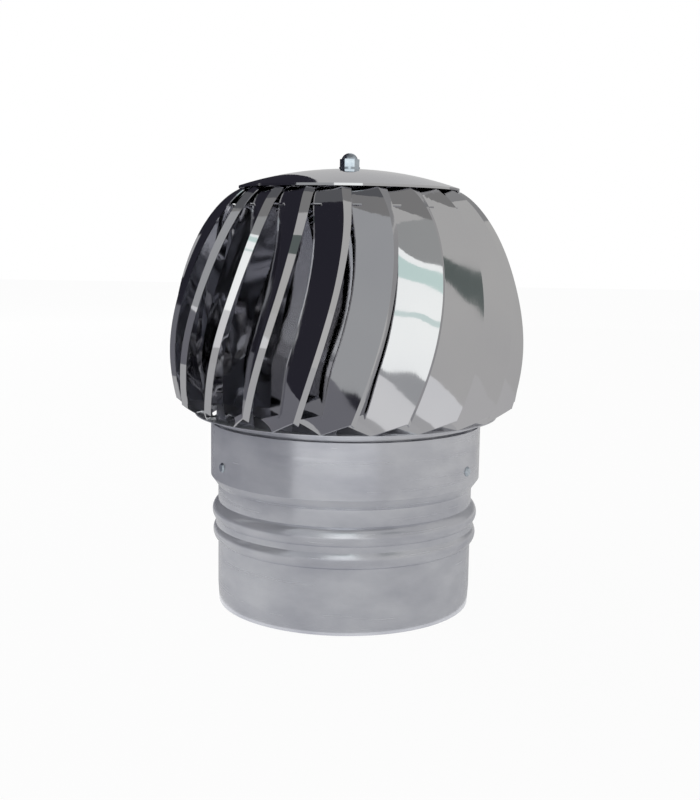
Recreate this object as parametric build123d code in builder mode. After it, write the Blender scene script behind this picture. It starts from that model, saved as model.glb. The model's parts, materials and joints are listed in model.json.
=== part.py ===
from build123d import *
from math import asin, cos, radians, sin, sqrt
import os

# Wind-driven roof turbine ventilator for a 200 mm flue or duct.
# Millimetres, +Z up, origin at the centre of the collar's lower rim.
# A round collar with two beads carries a bearing housing on two three-armed brackets.
# The head turns on that housing: overlapping swept blades, a ring below, a plate and a cap above.

# Sheet and small clearances
collar_sheet = 0.8
blade_sheet = 0.8
plate_sheet = 1.5
cap_sheet = 0.8
bracket_sheet = 2.5
seat_gap = 0.03

# Collar: a plain spigot, twin beads, a neck and a bell
spigot_radius = 100.0
lead_in_taper = 0.8
lead_in_height = 13.5
spigot_length = 49.5
lower_bead_bulge = 3.8
lower_bead_length = 12.5
valley_bulge = 2.0
valley_length = 4.5
upper_bead_bulge = 4.4
upper_bead_length = 14.0
neck_length = 12.5
bell_step = 5.7
bell_step_length = 8.0
bell_length = 41.5

# Throat ring inside the bell, reaching up inside the head's ring
throat_overlap = 20.0
throat_neck_in = 3.4
throat_neck_height = 5.0
throat_reach = 15.0

# Head: the line of the blades' outer edges, from the ring up to the cap, each step from the last
blade_count = 21
shoulder_out = 31.4
shoulder_rise = 50.4
curl_in = 2.3
curl_rise = 23.4
tail_in = 11.6
tail_drop = 13.6
flank_in = 8.7
flank_rise = 53.0
crown_in = 22.9
crown_rise = 48.5
cap_edge_in = 20.7
cap_edge_rise = 18.7
blade_end_in = 16.8
blade_end_rise = 3.8

# Each blade: a strip, tilted to the head's surface, with a lip along its outer edge
blade_width_low = 46.0
blade_width_mid = 51.0
blade_width_top = 22.0
blade_tilt_low = 38.0
blade_tilt = 34.0
blade_tilt_top = 14.0
lip_bend = 75.0
lip_bend_top = 20.0
lip_width = 5.0
lip_width_top = 7.0
lip_growth = 0.6
blade_sweep = 16.5
sweep_start_below_crown = 0.5
sweep_power = 1.45
blade_stations = 15
first_blade_angle = -88.8

# Ring under the blades
ring_gap = 2.6
ring_skirt_height = 4.6
ring_skirt_out = 1.8
ring_flange_width = 10.5
blade_corner_out = 13.8
blade_corner_rise = 10.0

# Tabs that hold the blades, spot welded to the ring and to the plate
foot_length = 10.0
foot_depth = 5.5
foot_inset = 6.0
top_tab_length = 11.0
top_tab_depth = 10.5
top_tab_inset = 1.5
tab_corner = 2.0

# Rivets
rivet_radius = 2.0
rivet_head_radius = 3.8
rivet_head_height = 1.4
rivet_head_slope = 35.0
rivet_clearance = 0.1

# Plate, hub, cap and its nut
vane_plate_in = 15.0
vane_plate_drop = 12.7
hub_flange_radius = 24.0
hub_flange_thickness = 3.0
hub_radius = 11.0
hub_length = 18.0
hub_rivet_circle = 17.5
cap_rim_in = 0.2
cap_rim_lift = 0.8
cap_rim_drop = 0.9
cap_rise = 15.7
cap_spacer_radius = 7.5
washer_radius = 8.0
washer_thickness = 1.5
nut_flats = 13.0
nut_hex_height = 6.0
cap_nut_height = 10.6
cap_nut_thread_depth = 7.8

# Housing with a ball bearing above and a flanged bush below
housing_radius = 17.0
housing_bore_radius = 12.0
housing_drop = 19.5
housing_rise = 9.5
bearing_radius = 13.0
bearing_width = 8.0
ball_radius = 2.38
ball_circle_radius = 9.0
ball_count = 7
ball_clearance = 0.04
race_land = 1.6
cage_wall = 1.2
cage_below = 1.2
cage_above = 3.2
bush_radius = 9.0
bush_length = 14.0
bush_flange_radius = 13.0
bush_flange = 1.5
running_clearance = 0.05

# Shaft and what is on it
shaft_radius = 5.0
thread_radius = 4.0
thread_clearance = 0.05
slinger_radius = 21.5
slinger_drop = 8.0
slinger_wall = 1.2
slinger_lift = 0.8
shaft_collar_radius = 10.0
shaft_collar_height = 8.0
end_float = 0.4
shaft_tail = 3.0

# Brackets
arm_count = 3
arm_width = 20.0
arm_tab_height = 16.0
arm_phase = -30.0
upper_bracket_rise = 20.0
lower_bracket_drop = 1.5
lower_tab_height = 9.0
bracket_hub_radius = 27.0
wall_gap = 0.05

blade_pitch = 360.0 / blade_count
arm_pitch = 360.0 / arm_count

# Heights and radii that follow from these, from the collar's foot up to the cap
lower_bead_top = spigot_length + lower_bead_length
upper_bead_foot = lower_bead_top + valley_length
neck_foot = upper_bead_foot + upper_bead_length
neck_top = neck_foot + neck_length
bell_foot = neck_top + bell_step_length
bell_top = bell_foot + bell_length
bell_radius = spigot_radius + bell_step
neck_inside = spigot_radius - collar_sheet
bell_inside = bell_radius - collar_sheet

ring_foot = bell_top + ring_gap
ring_top = ring_foot + ring_skirt_height
skirt_radius = bell_radius + ring_skirt_out
ring_flange_radius = skirt_radius + ring_flange_width
blade_corner_radius = ring_flange_radius + blade_corner_out

shoulder_radius = bell_radius + shoulder_out
shoulder_height = ring_top + shoulder_rise
flank_radius = shoulder_radius - flank_in
flank_height = shoulder_height + flank_rise
crown_radius = flank_radius - crown_in
crown_height = flank_height + crown_rise
cap_edge_radius = crown_radius - cap_edge_in
cap_edge_height = crown_height + cap_edge_rise
vane_plate_radius = crown_radius - vane_plate_in
vane_plate_top = cap_edge_height - vane_plate_drop
plate_foot = vane_plate_top - plate_sheet
cap_radius = cap_edge_radius - cap_rim_in
cap_rim_height = cap_edge_height + cap_rim_lift
cap_crown_height = cap_rim_height + cap_rise

upper_bracket_height = bell_foot + upper_bracket_rise
lower_bracket_height = neck_top - lower_bracket_drop
housing_foot = lower_bracket_height - housing_drop
housing_top = bell_top + housing_rise
bearing_foot = housing_top - bearing_width
washer_top = housing_foot - bush_flange - end_float
shaft_nut_top = washer_top - washer_thickness
upper_rivet_height = upper_bracket_height - arm_tab_height / 2

os.makedirs("parts", exist_ok=True)


def keep(part, label):
    """Name a finished piece and write its file."""
    part.label = label
    export_step(part, f"parts/{label}.step")


def rod(radius, foot, top, mode=Mode.ADD):
    """A round bar along the axis, added to the part being made or cut from it."""
    with BuildSketch(Plane.XY.offset(foot)) as round_section:
        Circle(radius)
    extrude(round_section.sketch, amount=top - foot, mode=mode)


def hexagon(foot, top):
    """The flats of a nut along the axis."""
    with BuildSketch(Plane.XY.offset(foot)) as hexagon_section:
        RegularPolygon(nut_flats / 2, 6, major_radius=False)
    extrude(hexagon_section.sketch, amount=top - foot)


def rivet(seat, grip):
    """A rivet whose head sits on a plane, with its shank through the sheets behind it."""
    with BuildSketch(seat) as head:
        Circle(rivet_head_radius)
    extrude(head.sketch, amount=rivet_head_height, taper=rivet_head_slope)
    with BuildSketch(seat) as shank:
        Circle(rivet_radius)
    extrude(shank.sketch, amount=-grip)
    with BuildSketch(seat.offset(-grip)) as tail:
        Circle(rivet_head_radius)
    extrude(tail.sketch, amount=-rivet_head_height, taper=rivet_head_slope)


def arm_face(arm, radius):
    """A vertical plane that faces outward across an arm, at a radius; its second axis is the height."""
    turn = arm_phase + arm * arm_pitch
    outward = Vector(cos(radians(turn)), sin(radians(turn)), 0)
    return Plane(origin=outward * radius, x_dir=outward.cross(Vector(0, 0, -1)), z_dir=outward)


def collar_line(inset):
    """The collar's profile from rim to rim, with every radius less the inset."""
    spigot = spigot_radius - inset
    valley = spigot + valley_bulge
    Polyline((spigot - lead_in_taper, 0), (spigot, lead_in_height), (spigot, spigot_length))
    ThreePointArc(
        (spigot, spigot_length),
        (spigot + lower_bead_bulge, (spigot_length + lower_bead_top) / 2),
        (valley, lower_bead_top),
    )
    Line((valley, lower_bead_top), (valley, upper_bead_foot))
    ThreePointArc(
        (valley, upper_bead_foot),
        (spigot + upper_bead_bulge, (upper_bead_foot + neck_foot) / 2),
        (spigot, neck_foot),
    )
    Polyline(
        (spigot, neck_foot),
        (spigot, neck_top),
        (bell_radius - inset, bell_foot),
        (bell_radius - inset, bell_top),
    )


# Collar
with BuildPart() as spigot_collar:
    with BuildSketch(Plane.XZ):
        with BuildLine():
            collar_line(0)
            collar_line(collar_sheet)
            Line((spigot_radius - lead_in_taper, 0), (neck_inside - lead_in_taper, 0))
            Line((bell_radius, bell_top), (bell_inside, bell_top))
        make_face()
    revolve(axis=Axis.Z)
    for arm in range(arm_count):
        with BuildSketch(arm_face(arm, bell_inside - collar_sheet)):
            with Locations((0, upper_rivet_height)):
                Circle(rivet_radius + rivet_clearance)
        extrude(amount=3 * collar_sheet, mode=Mode.SUBTRACT)
keep(spigot_collar.part, "spigot_collar")

# Throat ring: it seats in the bell, steps in and reaches up inside the head's ring
throat_radius = bell_inside - wall_gap
throat_foot = bell_top - throat_overlap
throat_shoulder = bell_top - throat_neck_height
with BuildPart() as throat_ring:
    with BuildSketch(Plane.XZ):
        with BuildLine():
            throat_line = Polyline(
                (throat_radius - collar_sheet, throat_foot),
                (throat_radius - collar_sheet, throat_shoulder),
                (throat_radius - collar_sheet - throat_neck_in, bell_top),
                (throat_radius - collar_sheet - throat_neck_in, bell_top + throat_reach),
            )
            Polyline(
                throat_line @ 0,
                (throat_radius, throat_foot),
                (throat_radius, throat_shoulder),
                (throat_radius - throat_neck_in, bell_top),
                (throat_radius - throat_neck_in, bell_top + throat_reach),
                throat_line @ 1,
            )
        make_face()
    revolve(axis=Axis.Z)
keep(throat_ring.part, "throat_ring")


def bracket(wall, top, tab_height):
    """A three-armed bracket whose bent-down ends stand against a round wall."""
    with BuildSketch(Plane.XY.offset(top)) as arms:
        with PolarLocations(wall / 2, arm_count, start_angle=arm_phase):
            Rectangle(wall, arm_width)
        Circle(bracket_hub_radius)
        Circle(wall, mode=Mode.INTERSECT)
    extrude(arms.sketch, amount=-bracket_sheet)
    with BuildSketch(Plane.XY.offset(top)) as arm_ends:
        with PolarLocations(wall / 2, arm_count, start_angle=arm_phase):
            Rectangle(wall, arm_width)
        Circle(wall, mode=Mode.INTERSECT)
        Circle(wall - bracket_sheet, mode=Mode.SUBTRACT)
    extrude(arm_ends.sketch, amount=-tab_height)
    rod(housing_radius + wall_gap, top - tab_height, top, mode=Mode.SUBTRACT)


# Brackets: the upper one is riveted to the bell, the lower one is welded to the neck
upper_wall = bell_inside - wall_gap
with BuildPart() as upper_bracket:
    bracket(upper_wall, upper_bracket_height, arm_tab_height)
    for arm in range(arm_count):
        with BuildSketch(arm_face(arm, upper_wall - 2 * bracket_sheet)):
            with Locations((0, upper_rivet_height)):
                Circle(rivet_radius + rivet_clearance)
        extrude(amount=3 * bracket_sheet, mode=Mode.SUBTRACT)
keep(upper_bracket.part, "upper_bracket")

with BuildPart() as lower_bracket:
    bracket(neck_inside - wall_gap, lower_bracket_height, lower_tab_height)
keep(lower_bracket.part, "lower_bracket")

bracket_grip = collar_sheet + bracket_sheet + 4 * rivet_clearance
with BuildPart() as bracket_rivets:
    for arm in range(arm_count):
        face = arm_face(arm, bell_radius + rivet_clearance)
        rivet(face.shift_origin(face.origin + Vector(0, 0, upper_rivet_height)), bracket_grip)
keep(bracket_rivets.part, "bracket_rivets")

# Bearing housing
with BuildPart() as bearing_housing:
    rod(housing_radius, housing_foot, housing_top)
    rod(housing_bore_radius, housing_foot + bush_length, housing_top, mode=Mode.SUBTRACT)
    rod(bush_radius + seat_gap, housing_foot, housing_top, mode=Mode.SUBTRACT)
    rod(bearing_radius + seat_gap, bearing_foot, housing_top, mode=Mode.SUBTRACT)
    chamfer(bearing_housing.edges().filter_by(GeomType.CIRCLE).group_by(Edge.length)[-1], 1)
keep(bearing_housing.part, "bearing_housing")

with BuildPart() as lower_bush:
    rod(bush_radius, housing_foot - bush_flange, housing_foot + bush_length)
    rod(bush_flange_radius, housing_foot - bush_flange, housing_foot - seat_gap)
    rod(
        shaft_radius + running_clearance,
        housing_foot - bush_flange,
        housing_foot + bush_length,
        mode=Mode.SUBTRACT,
    )
keep(lower_bush.part, "lower_bush")

# Ball bearing: two races with a groove, seven balls and a crown cage
ball_height = bearing_foot + bearing_width / 2


def groove():
    """Cut the balls' track from a race."""
    with BuildSketch(Plane.XZ) as track:
        with Locations((ball_circle_radius, ball_height)):
            Circle(ball_radius + ball_clearance)
    revolve(track.sketch, axis=Axis.Z, mode=Mode.SUBTRACT)


with BuildPart() as bearing_outer_race:
    rod(bearing_radius, bearing_foot + seat_gap, housing_top)
    rod(ball_circle_radius + race_land, bearing_foot, housing_top, mode=Mode.SUBTRACT)
    groove()
keep(bearing_outer_race.part, "bearing_outer_race")

with BuildPart() as bearing_inner_race:
    rod(ball_circle_radius - race_land, bearing_foot, housing_top)
    rod(shaft_radius + seat_gap, bearing_foot, housing_top, mode=Mode.SUBTRACT)
    groove()
keep(bearing_inner_race.part, "bearing_inner_race")

with BuildPart() as bearing_balls:
    with Locations((0, 0, ball_height)):
        with PolarLocations(ball_circle_radius, ball_count):
            Sphere(ball_radius)
keep(bearing_balls.part, "bearing_balls")

with BuildPart() as bearing_cage:
    rod(ball_circle_radius + cage_wall / 2, ball_height - cage_below, ball_height + cage_above)
    rod(
        ball_circle_radius - cage_wall / 2,
        ball_height - cage_below,
        ball_height + cage_above,
        mode=Mode.SUBTRACT,
    )
    with Locations((0, 0, ball_height)):
        with PolarLocations(ball_circle_radius, ball_count):
            Sphere(ball_radius + ball_clearance, mode=Mode.SUBTRACT)
keep(bearing_cage.part, "bearing_cage")

# Shaft, threaded at both ends
cap_underside = cap_crown_height - cap_sheet
cap_nut_foot = cap_crown_height + washer_thickness + 2 * seat_gap
with BuildPart() as shaft:
    rod(shaft_radius, washer_top + seat_gap, vane_plate_top)
    rod(thread_radius, shaft_nut_top - nut_hex_height - shaft_tail, cap_nut_foot + cap_nut_thread_depth)
    chamfer(shaft.edges().filter_by(GeomType.CIRCLE).sort_by(Axis.Z)[0], 0.8)
    chamfer(shaft.edges().filter_by(GeomType.CIRCLE).sort_by(Axis.Z)[-1], 0.8)
keep(shaft.part, "shaft")

with BuildPart() as shaft_washer:
    rod(washer_radius, shaft_nut_top, washer_top)
    rod(thread_radius + thread_clearance, shaft_nut_top, washer_top, mode=Mode.SUBTRACT)
keep(shaft_washer.part, "shaft_washer")

with BuildPart() as shaft_nut:
    hexagon(shaft_nut_top - nut_hex_height, shaft_nut_top - seat_gap)
    rod(
        thread_radius + thread_clearance,
        shaft_nut_top - nut_hex_height,
        shaft_nut_top,
        mode=Mode.SUBTRACT,
    )
keep(shaft_nut.part, "shaft_nut")

# Rain slinger: a hood over the bearing, on the inner race
slinger_seat = housing_top + slinger_lift
slinger_top = slinger_seat + slinger_wall
with BuildPart() as rain_slinger:
    with BuildSketch(Plane.XZ):
        with BuildLine():
            Polyline(
                (shaft_radius + seat_gap, housing_top + seat_gap),
                (ball_circle_radius - race_land, housing_top + seat_gap),
                (ball_circle_radius - race_land, slinger_seat),
                (slinger_radius - slinger_wall, slinger_seat),
                (slinger_radius - slinger_wall, slinger_top - slinger_drop),
                (slinger_radius, slinger_top - slinger_drop),
                (slinger_radius, slinger_top),
                (shaft_radius + seat_gap, slinger_top),
                close=True,
            )
        make_face()
    revolve(axis=Axis.Z)
keep(rain_slinger.part, "rain_slinger")

with BuildPart() as shaft_collar:
    rod(shaft_collar_radius, slinger_top + seat_gap, slinger_top + shaft_collar_height)
    rod(shaft_radius + seat_gap, slinger_top, slinger_top + shaft_collar_height, mode=Mode.SUBTRACT)
keep(shaft_collar.part, "shaft_collar")

# Plate that carries the blades' upper ends, and its hub
with BuildPart() as vane_plate:
    rod(vane_plate_radius, plate_foot, vane_plate_top)
    rod(shaft_radius + seat_gap, plate_foot, vane_plate_top, mode=Mode.SUBTRACT)
    with Locations((0, 0, vane_plate_top)):
        with PolarLocations(hub_rivet_circle, arm_count):
            Hole(rivet_radius + rivet_clearance)
keep(vane_plate.part, "vane_plate")

hub_seat = plate_foot - seat_gap
with BuildPart() as plate_hub:
    rod(hub_radius, hub_seat - hub_length, hub_seat)
    rod(hub_flange_radius, hub_seat - hub_flange_thickness, hub_seat)
    rod(shaft_radius + seat_gap, hub_seat - hub_length, hub_seat, mode=Mode.SUBTRACT)
    with Locations((0, 0, hub_seat)):
        with PolarLocations(hub_rivet_circle, arm_count):
            Hole(rivet_radius + rivet_clearance)
keep(plate_hub.part, "plate_hub")

hub_grip = plate_sheet + hub_flange_thickness + 3 * seat_gap
with BuildPart() as hub_rivets:
    for turn in range(arm_count):
        spot = Vector(hub_rivet_circle, 0, vane_plate_top + seat_gap).rotate(Axis.Z, turn * arm_pitch)
        rivet(Plane(spot), hub_grip)
keep(hub_rivets.part, "hub_rivets")

# Ring under the blades: a skirt over the bell's rim and a flange
ring_bend = ring_top - blade_sheet
with BuildPart() as blade_ring:
    with BuildSketch(Plane.XZ):
        with BuildLine():
            Polyline(
                (skirt_radius - blade_sheet, ring_foot),
                (skirt_radius, ring_foot),
                (skirt_radius, ring_bend),
                (ring_flange_radius, ring_bend),
                (ring_flange_radius, ring_top),
                (skirt_radius - blade_sheet, ring_top),
                close=True,
            )
        make_face()
    revolve(axis=Axis.Z)
keep(blade_ring.part, "blade_ring")

# Rain cap: a shallow dome with a short turned-down rim
cap_rim_top = cap_rim_height + cap_rim_drop + cap_sheet
cap_rise = cap_crown_height - cap_rim_top
cap_dome_radius = (cap_radius**2 + cap_rise**2) / (2 * cap_rise)
cap_mid_drop = cap_dome_radius - sqrt(cap_dome_radius**2 - (cap_radius / 2) ** 2)
with BuildPart() as rain_cap:
    with BuildSketch(Plane.XZ):
        with BuildLine():
            ThreePointArc(
                (0, cap_crown_height),
                (cap_radius / 2, cap_crown_height - cap_mid_drop),
                (cap_radius, cap_rim_top),
            )
            Polyline(
                (cap_radius, cap_rim_top),
                (cap_radius, cap_rim_height),
                (cap_radius - cap_sheet, cap_rim_height),
                (cap_radius - cap_sheet, cap_rim_top - cap_sheet),
            )
            ThreePointArc(
                (cap_radius - cap_sheet, cap_rim_top - cap_sheet),
                (cap_radius / 2, cap_underside - cap_mid_drop),
                (0, cap_underside),
            )
            Line((0, cap_underside), (0, cap_crown_height))
        make_face()
    revolve(axis=Axis.Z)
    rod(thread_radius + thread_clearance, cap_rim_height, cap_crown_height, mode=Mode.SUBTRACT)
keep(rain_cap.part, "rain_cap")

with BuildPart() as cap_spacer:
    rod(cap_spacer_radius, vane_plate_top + seat_gap, cap_underside - 5 * seat_gap)
    rod(thread_radius + thread_clearance, vane_plate_top, cap_underside, mode=Mode.SUBTRACT)
keep(cap_spacer.part, "cap_spacer")

with BuildPart() as cap_washer:
    rod(washer_radius, cap_crown_height + seat_gap, cap_nut_foot - seat_gap)
    rod(thread_radius + thread_clearance, cap_crown_height, cap_nut_foot, mode=Mode.SUBTRACT)
keep(cap_washer.part, "cap_washer")

# Domed nut
cap_nut_shoulder = cap_nut_foot + nut_hex_height
cap_nut_top = cap_nut_foot + cap_nut_height
with BuildPart() as acorn_nut:
    hexagon(cap_nut_foot, cap_nut_shoulder)
    with BuildSketch(Plane.XZ):
        with BuildLine():
            nut_dome = RadiusArc((0, cap_nut_top), (nut_flats / 2 - 0.3, cap_nut_shoulder), nut_flats / 2)
            Polyline(nut_dome @ 1, (0, cap_nut_shoulder), (0, cap_nut_top))
        make_face()
    revolve(axis=Axis.Z)
    rod(
        thread_radius + thread_clearance,
        cap_nut_foot,
        cap_nut_foot + cap_nut_thread_depth + seat_gap,
        mode=Mode.SUBTRACT,
    )
keep(acorn_nut.part, "acorn_nut")

# The line that the blades' outer edges follow, from the ring up to the cap
with BuildLine(Plane.XZ) as head_line:
    Spline(
        (shoulder_radius - tail_in, ring_top - tail_drop),
        (shoulder_radius - curl_in, ring_top + curl_rise),
        (shoulder_radius, shoulder_height),
        (flank_radius, flank_height),
        (crown_radius, crown_height),
        (cap_edge_radius, cap_edge_height),
        (cap_edge_radius - blade_end_in, cap_edge_height + blade_end_rise),
    )


def blade_section(share):
    """The plane across a blade at a share of its length, and the bent strip's outline on it.

    The plane's first axis runs round the head and its second axis points out of it.
    """
    edge = head_line.line @ share
    rise = head_line.line % share
    sweep_start = crown_height - sweep_start_below_crown
    below_start = max(0, sweep_start - edge.Z) / (sweep_start - ring_top)
    below_shoulder = max(0, shoulder_height - edge.Z) / (shoulder_height - ring_top)
    above_flank = 0
    if edge.Z > flank_height:
        above_flank = min(1, (flank_radius - edge.X) / (flank_radius - cap_edge_radius))
    turn = first_blade_angle - blade_sweep * below_start**sweep_power
    plane = Plane(
        origin=edge.rotate(Axis.Z, turn),
        x_dir=Vector(0, 1, 0).rotate(Axis.Z, turn),
        z_dir=-rise.rotate(Axis.Z, turn),
    )
    tilt = blade_tilt + (blade_tilt_low - blade_tilt) * below_shoulder
    tilt += (blade_tilt_top - blade_tilt) * above_flank**2
    bend = lip_bend + (lip_bend_top - lip_bend) * above_flank**2
    width = blade_width_mid + (blade_width_low - blade_width_mid) * below_shoulder
    width += (blade_width_top - blade_width_mid) * above_flank
    lip = lip_width + (lip_width_top - lip_width) * above_flank**lip_growth
    strip_slope = radians(tilt)
    lip_slope = radians(bend - tilt)
    fold = Vector(-cos(lip_slope), 0) * lip
    inner_edge = fold + Vector(-cos(strip_slope), -sin(strip_slope)) * width
    lip_edge = Vector(0, -sin(lip_slope)) * lip
    behind_strip = Vector(sin(strip_slope), -cos(strip_slope)) * blade_sheet
    behind_lip = Vector(-sin(lip_slope), -cos(lip_slope)) * blade_sheet
    behind_fold = fold + (behind_strip + behind_lip) * (1 / (1 + cos(radians(bend))))
    outline = [
        inner_edge,
        fold,
        lip_edge,
        lip_edge + behind_lip,
        behind_fold,
        inner_edge + behind_strip,
    ]
    return plane, [(point.X, point.Y) for point in outline]


def tab(height, length, depth, inset):
    """A flat tab on the inner side of the blade being made, at an inset from its inner edge."""
    cut = section(section_by=Plane.XY.offset(height), mode=Mode.PRIVATE)
    side = cut.edges().sort_by(Edge.length)[-1]
    near, far = sorted([side @ 0, side @ 1], key=lambda point: point.length)
    along = (far - near).normalized()
    inward = along.rotate(Axis.Z, 90)
    start = near + along * inset
    end = start + along * length
    root = inward * -blade_sheet
    with BuildSketch(Plane.XY.offset(height)) as flat:
        with BuildLine():
            Polyline(start + root, end + root, end + inward * depth, start + inward * depth, close=True)
        make_face()
        fillet(flat.vertices().sort_by_distance(flat.sketch.center() + inward * depth)[:2], tab_corner)
    extrude(flat.sketch, amount=blade_sheet / 2, both=True)


# One blade, and its copies round the head
with BuildPart() as blade:
    for station in range(blade_stations):
        plane, outline = blade_section(station / (blade_stations - 1))
        with BuildSketch(plane):
            with BuildLine():
                Polyline(*outline, close=True)
            make_face()
    loft()
    # The lower ends stand on the ring's flange and rise outside it
    with BuildSketch(Plane.XZ):
        with BuildLine():
            Polyline(
                (0, ring_top + seat_gap),
                (ring_flange_radius, ring_top + seat_gap),
                (blade_corner_radius, ring_top + blade_corner_rise),
                (2 * shoulder_radius, ring_top + blade_corner_rise),
                (2 * shoulder_radius, 0),
                (0, 0),
                close=True,
            )
        make_face()
    revolve(axis=Axis.Z, mode=Mode.SUBTRACT)
    tab(ring_top + seat_gap + blade_sheet / 2, foot_length, foot_depth, foot_inset)
    tab(vane_plate_top + seat_gap + blade_sheet / 2, top_tab_length, top_tab_depth, top_tab_inset)
for number in range(blade_count):
    keep(blade.part.rotate(Axis.Z, number * blade_pitch), f"blade_{number + 1:02d}")
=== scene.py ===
import json
from math import cos, radians, sin

import bpy
from mathutils import Matrix, Vector

# A wind-driven roof turbine ventilator: mirror-polished blades and cap on a satin collar.
# Metres, +Z up, origin at the centre of the collar's lower rim.
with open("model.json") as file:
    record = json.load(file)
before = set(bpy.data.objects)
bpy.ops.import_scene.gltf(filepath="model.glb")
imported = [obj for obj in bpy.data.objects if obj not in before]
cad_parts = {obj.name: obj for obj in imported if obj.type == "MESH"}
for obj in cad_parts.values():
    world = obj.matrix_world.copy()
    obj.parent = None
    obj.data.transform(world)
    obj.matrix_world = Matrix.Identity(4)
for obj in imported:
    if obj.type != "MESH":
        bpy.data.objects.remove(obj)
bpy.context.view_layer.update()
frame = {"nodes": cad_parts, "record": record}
nodes = frame["nodes"]

# Camera: where it stands, how it looks down, and its lens
camera_distance = 0.900
camera_height = 0.286
camera_shift_right = 0.0031
camera_pitch = 8.08
camera_roll = 0.9
lens_length = 51.9

# Studio: cards on a wide sphere round the object, which the camera doesn't see, and flags before them
studio_radius = 3.0
flag_radius = 2.9
studio_centre = Vector((0, 0, 0.2))
card_step = 5.0
world_light = 0.55
floor_half = 6.0
floor_colour = (0.86, 0.86, 0.86)
floor_roughness = 0.9
floor_white_share = 0.95
floor_card_lift = 0.001
plain_white = (1.0, 1.0, 1.0)

# Directions in degrees; azimuth 0 is towards the camera and grows to its right
wall = (-4, 58)
ceiling = (58, 89)
dark_side = (-174, -56)
window_side = (-14, 13)
window_top = 40

# Distances along the floor from the object's axis
collar_foot = 0.102
near_floor = 0.45
middle_floor = 0.62

# Share of a noise's range over which a metal changes from one tone or gloss to the other
noise_low = 0.3
noise_high = 0.7


def place_camera():
    """A camera at the photograph's viewing angle."""
    camera = bpy.data.objects.new("camera", bpy.data.cameras.new("camera"))
    bpy.context.scene.collection.objects.link(camera)
    camera.data.lens = lens_length
    look_down = Matrix.Rotation(radians(90 - camera_pitch), 4, "X")
    roll = Matrix.Rotation(radians(camera_roll), 4, "Z")
    place = Matrix.Translation((camera_shift_right, -camera_distance, camera_height))
    camera.matrix_world = place @ look_down @ roll
    bpy.context.scene.camera = camera


def background_share(tree, level):
    """How much of the white background a ray sees: the level for camera, mirror and glass rays."""
    path = tree.nodes.new("ShaderNodeLightPath")
    seen = path.outputs["Is Camera Ray"]
    for kind in ("Is Glossy Ray", "Is Transmission Ray"):
        either = tree.nodes.new("ShaderNodeMath")
        either.operation = "MAXIMUM"
        tree.links.new(seen, either.inputs[0])
        tree.links.new(path.outputs[kind], either.inputs[1])
        seen = either.outputs[0]
    share = tree.nodes.new("ShaderNodeMath")
    share.operation = "MULTIPLY"
    share.inputs[1].default_value = level
    tree.links.new(seen, share.inputs[0])
    return share.outputs[0]


def white_world(light_level):
    """A plain world: white where it is seen, and an even soft light on the object."""
    world = bpy.data.worlds.new("studio_world")
    bpy.context.scene.world = world
    world.use_nodes = True
    tree = world.node_tree
    tree.nodes.clear()
    output = tree.nodes.new("ShaderNodeOutputWorld")
    seen = tree.nodes.new("ShaderNodeBackground")
    seen.inputs["Color"].default_value = (*plain_white, 1)
    light = tree.nodes.new("ShaderNodeBackground")
    light.inputs["Color"].default_value = (*plain_white, 1)
    light.inputs["Strength"].default_value = light_level
    mix = tree.nodes.new("ShaderNodeMixShader")
    tree.links.new(background_share(tree, 1), mix.inputs[0])
    tree.links.new(light.outputs[0], mix.inputs[1])
    tree.links.new(seen.outputs[0], mix.inputs[2])
    tree.links.new(mix.outputs[0], output.inputs["Surface"])


def studio_point(azimuth, elevation, radius):
    """A point on a sphere round the object; azimuth 0 is towards the camera and grows to its right."""
    a, e = radians(azimuth), radians(elevation)
    return studio_centre + radius * Vector((sin(a) * cos(e), -cos(a) * cos(e), sin(e)))


def stage_sheet(name, corners, faces, material):
    """A sheet of the studio, made from its corners and faces."""
    data = bpy.data.meshes.new(name)
    data.from_pydata(corners, [], faces)
    shape = bpy.data.objects.new(name, data)
    bpy.context.scene.collection.objects.link(shape)
    data.materials.append(material)
    return shape


def glow(name, colour, strength):
    """A material that only shines."""
    material = bpy.data.materials.new(name)
    material.use_nodes = True
    tree = material.node_tree
    tree.nodes.clear()
    shine = tree.nodes.new("ShaderNodeEmission")
    shine.inputs["Color"].default_value = (*colour, 1)
    shine.inputs["Strength"].default_value = strength
    output = tree.nodes.new("ShaderNodeOutputMaterial")
    tree.links.new(shine.outputs[0], output.inputs["Surface"])
    return material


def grid_faces(across, up):
    """Faces of a grid whose corners are listed row by row."""
    faces = []
    for j in range(up):
        for i in range(across):
            first = j * (across + 1) + i
            faces.append((first + 1, first, first + across + 1, first + across + 2))
    return faces


def card(
    name, azimuths, elevations, strength,
    colour=plain_white, radius=studio_radius, lights=True, mirrored=True,
):
    """A curved card that shines evenly and that the camera doesn't see.

    It lights dull surfaces, shows in mirroring ones, or does both.
    """
    across = max(2, round((azimuths[1] - azimuths[0]) / card_step))
    up = max(2, round((elevations[1] - elevations[0]) / card_step))
    corners = []
    for j in range(up + 1):
        elevation = elevations[0] + (elevations[1] - elevations[0]) * j / up
        for i in range(across + 1):
            azimuth = azimuths[0] + (azimuths[1] - azimuths[0]) * i / across
            corners.append(studio_point(azimuth, elevation, radius))
    shape = stage_sheet(name, corners, grid_faces(across, up), glow(name, colour, strength))
    shape.visible_camera = False
    shape.visible_shadow = False
    shape.visible_diffuse = lights
    shape.visible_glossy = mirrored


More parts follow.
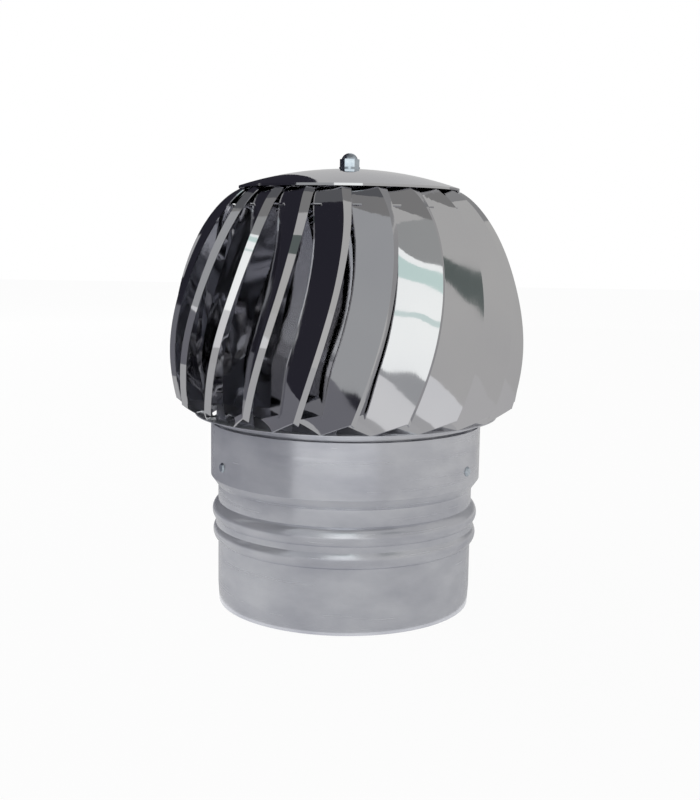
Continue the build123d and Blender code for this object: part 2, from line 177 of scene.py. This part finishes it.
def floor_card(name, azimuths, radii, strength, colour=plain_white):
    """A flat card lying on the floor, seen only in reflections."""
    across = max(2, round((azimuths[1] - azimuths[0]) / card_step))
    corners = []
    for radius in radii:
        for i in range(across + 1):
            a = radians(azimuths[0] + (azimuths[1] - azimuths[0]) * i / across)
            corners.append(Vector((sin(a) * radius, -cos(a) * radius, floor_card_lift)))
    shape = stage_sheet(name, corners, grid_faces(across, 1), glow(name, colour, strength))
    shape.visible_camera = False
    shape.visible_shadow = False
    shape.visible_diffuse = False


def floor():
    """A plain pale floor: white to the camera and in reflections, and it keeps the object's shadow."""
    material = bpy.data.materials.new("floor")
    material.use_nodes = True
    tree = material.node_tree
    surface = tree.nodes["Principled BSDF"]
    surface.inputs["Base Color"].default_value = (*floor_colour, 1)
    surface.inputs["Roughness"].default_value = floor_roughness
    surface.inputs["Specular IOR Level"].default_value = 0
    white = tree.nodes.new("ShaderNodeEmission")
    mix = tree.nodes.new("ShaderNodeMixShader")
    output = tree.nodes["Material Output"]
    tree.links.new(background_share(tree, floor_white_share), mix.inputs[0])
    tree.links.new(surface.outputs[0], mix.inputs[1])
    tree.links.new(white.outputs[0], mix.inputs[2])
    tree.links.new(mix.outputs[0], output.inputs["Surface"])
    corners = [
        (-floor_half, -floor_half, 0),
        (floor_half, -floor_half, 0),
        (floor_half, floor_half, 0),
        (-floor_half, floor_half, 0),
    ]
    stage_sheet("floor", corners, [(0, 1, 2, 3)], material)


place_camera()
white_world(world_light)
floor()
card("overhead_right", (-60, 170), ceiling, 0.27, (1.0, 0.99, 0.97))
card("overhead_left", (170, 300), ceiling, 0.14, (0.93, 0.95, 1.0))
card("left_flag", dark_side, wall, 0.035, (0.75, 0.72, 1.0), lights=False)
card("left_fill", dark_side, wall, 1.2, radius=flag_radius, mirrored=False)
card("left_strip", (-104, -100), (5, 45), 0.5, radius=flag_radius)
card("front_left", (dark_side[1], window_side[0]), wall, 0.46, (0.97, 0.99, 1.0))
card("front_window", window_side, (wall[0], window_top), 1.3, (0.98, 1.0, 0.97))
card("window_band", window_side, (34, 38), 0.95, (0.80, 1.0, 0.94), radius=flag_radius)
card("window_bar", window_side, (27, 28.5), 0.95, (0.85, 1.0, 0.96), radius=flag_radius)
card("front_above", window_side, (window_top, wall[1]), 0.42, (0.98, 1.0, 0.98))
card("right_wall", (window_side[1], 125), wall, 0.56, (1.0, 0.99, 0.96))
card("right_flag", (36, 54), (24, 36), 0.16, (0.85, 1.0, 0.95), radius=flag_radius)
card("back_side", (125, 160), wall, 0.32)
card("back_wall", (160, 360 + dark_side[0]), wall, 0.55)
floor_card("floor_front", (-40, 25), (middle_floor, studio_radius), 0.85)
floor_card("floor_middle", (-40, 25), (near_floor, middle_floor), 0.5)
floor_card("floor_right", (25, 170), (near_floor, studio_radius), 0.6, (1.0, 0.99, 0.97))
floor_card("floor_left", (170, 320), (near_floor, studio_radius), 0.22, (0.9, 0.9, 1.0))
floor_card("floor_near", (-180, 180), (collar_foot, near_floor), 0.52)


class Look:
    """A procedural metal: noise in the object's own coordinates drives its colour, gloss and relief."""

    def __init__(self, name):
        self.material = bpy.data.materials.new(name)
        self.material.use_nodes = True
        self.tree = self.material.node_tree
        self.shader = self.tree.nodes["Principled BSDF"]
        self.shader.inputs["Metallic"].default_value = 1
        self.place = self.tree.nodes.new("ShaderNodeTexCoord")
        self.relief = None

    def noise(self, scales, detail=3.0):
        """Noise whose waves per metre are given along X, Y and Z."""
        stretch = self.tree.nodes.new("ShaderNodeMapping")
        stretch.inputs["Scale"].default_value = scales
        self.tree.links.new(self.place.outputs["Object"], stretch.inputs["Vector"])
        texture = self.tree.nodes.new("ShaderNodeTexNoise")
        texture.inputs["Scale"].default_value = 1
        texture.inputs["Detail"].default_value = detail
        self.tree.links.new(stretch.outputs["Vector"], texture.inputs["Vector"])
        return texture.outputs[0]

    def gloss(self, source, smooth, rough):
        """Let a noise carry the roughness between two values."""
        ramp = self.tree.nodes.new("ShaderNodeMapRange")
        ramp.inputs["From Min"].default_value = noise_low
        ramp.inputs["From Max"].default_value = noise_high
        ramp.inputs["To Min"].default_value = smooth
        ramp.inputs["To Max"].default_value = rough
        self.tree.links.new(source, ramp.inputs["Value"])
        self.tree.links.new(ramp.outputs["Result"], self.shader.inputs["Roughness"])

    def tint(self, source, dark, light):
        """Let a noise carry the colour between two tones."""
        ramp = self.tree.nodes.new("ShaderNodeValToRGB")
        low, high = ramp.color_ramp.elements
        low.position = noise_low
        high.position = noise_high
        low.color = (*dark, 1)
        high.color = (*light, 1)
        self.tree.links.new(source, ramp.inputs["Fac"])
        self.tree.links.new(ramp.outputs["Color"], self.shader.inputs["Base Color"])

    def bump(self, source, height):
        """Add relief of a height in metres to the relief there is so far."""
        node = self.tree.nodes.new("ShaderNodeBump")
        node.inputs["Distance"].default_value = height
        self.tree.links.new(source, node.inputs["Height"])
        if self.relief:
            self.tree.links.new(self.relief, node.inputs["Normal"])
        self.relief = node.outputs["Normal"]
        self.tree.links.new(self.relief, self.shader.inputs["Normal"])


def polished_sheet():
    """Mirror-polished stainless sheet: slow waves from forming, faint haze and fine rolling lines."""
    look = Look("polished_sheet")
    look.tint(look.noise((9, 9, 9)), (0.60, 0.60, 0.63), (0.66, 0.66, 0.675))
    look.gloss(look.noise((25, 25, 12), 5), 0.02, 0.09)
    look.bump(look.noise((18, 18, 10), 1), 0.0016)
    look.bump(look.noise((900, 900, 30), 2), 0.000004)
    return look.material


def satin_sheet():
    """Satin stainless sheet, brushed round the object, with soft handling marks."""
    look = Look("satin_sheet")
    look.shader.inputs["Metallic"].default_value = 0.62
    look.tint(look.noise((22, 22, 45), 5), (0.55, 0.56, 0.62), (0.74, 0.75, 0.80))
    look.gloss(look.noise((7, 7, 420), 4), 0.16, 0.28)
    look.bump(look.noise((5, 5, 1400), 3), 0.00003)
    look.bump(look.noise((30, 30, 9), 1), 0.0010)
    return look.material


def zinc_plated_steel():
    """Zinc plating: dull, slightly clouded, with a cool tone."""
    look = Look("zinc_plated_steel")
    look.tint(look.noise((60, 60, 60), 6), (0.42, 0.43, 0.46), (0.56, 0.57, 0.60))
    look.gloss(look.noise((120, 120, 120)), 0.28, 0.50)
    look.bump(look.noise((700, 700, 700)), 0.00002)
    return look.material


def fastener_steel():
    """Bright blue-passivated fasteners with faint turning marks."""
    look = Look("fastener_steel")
    look.tint(look.noise((180, 180, 180)), (0.47, 0.54, 0.62), (0.64, 0.70, 0.76))
    look.gloss(look.noise((90, 90, 600)), 0.12, 0.28)
    look.bump(look.noise((40, 40, 2500)), 0.00001)
    return look.material


def ground_steel():
    """Ground bearing steel with fine lines round the axis."""
    look = Look("ground_steel")
    look.tint(look.noise((80, 80, 80)), (0.56, 0.56, 0.58), (0.64, 0.64, 0.66))
    look.gloss(look.noise((20, 20, 1500)), 0.08, 0.22)
    look.bump(look.noise((12, 12, 3000)), 0.000006)
    return look.material


def bronze():
    """Cast bearing bronze, a little darker where it has aged."""
    look = Look("bronze")
    look.tint(look.noise((140, 140, 140), 5), (0.44, 0.29, 0.14), (0.62, 0.43, 0.22))
    look.gloss(look.noise((200, 200, 200)), 0.24, 0.44)
    look.bump(look.noise((1200, 1200, 1200)), 0.000015)
    return look.material


# Each piece of the part gets the metal that its record names
metals = (polished_sheet, satin_sheet, zinc_plated_steel, fastener_steel, ground_steel, bronze)
looks = {make.__name__: make() for make in metals}
for part in frame["record"]["subparts"]:
    shape = nodes[part["node"]]
    shape.data.materials.clear()
    shape.data.materials.append(looks[part["material_slot"]])

bpy.context.scene.view_settings.view_transform = "Standard"
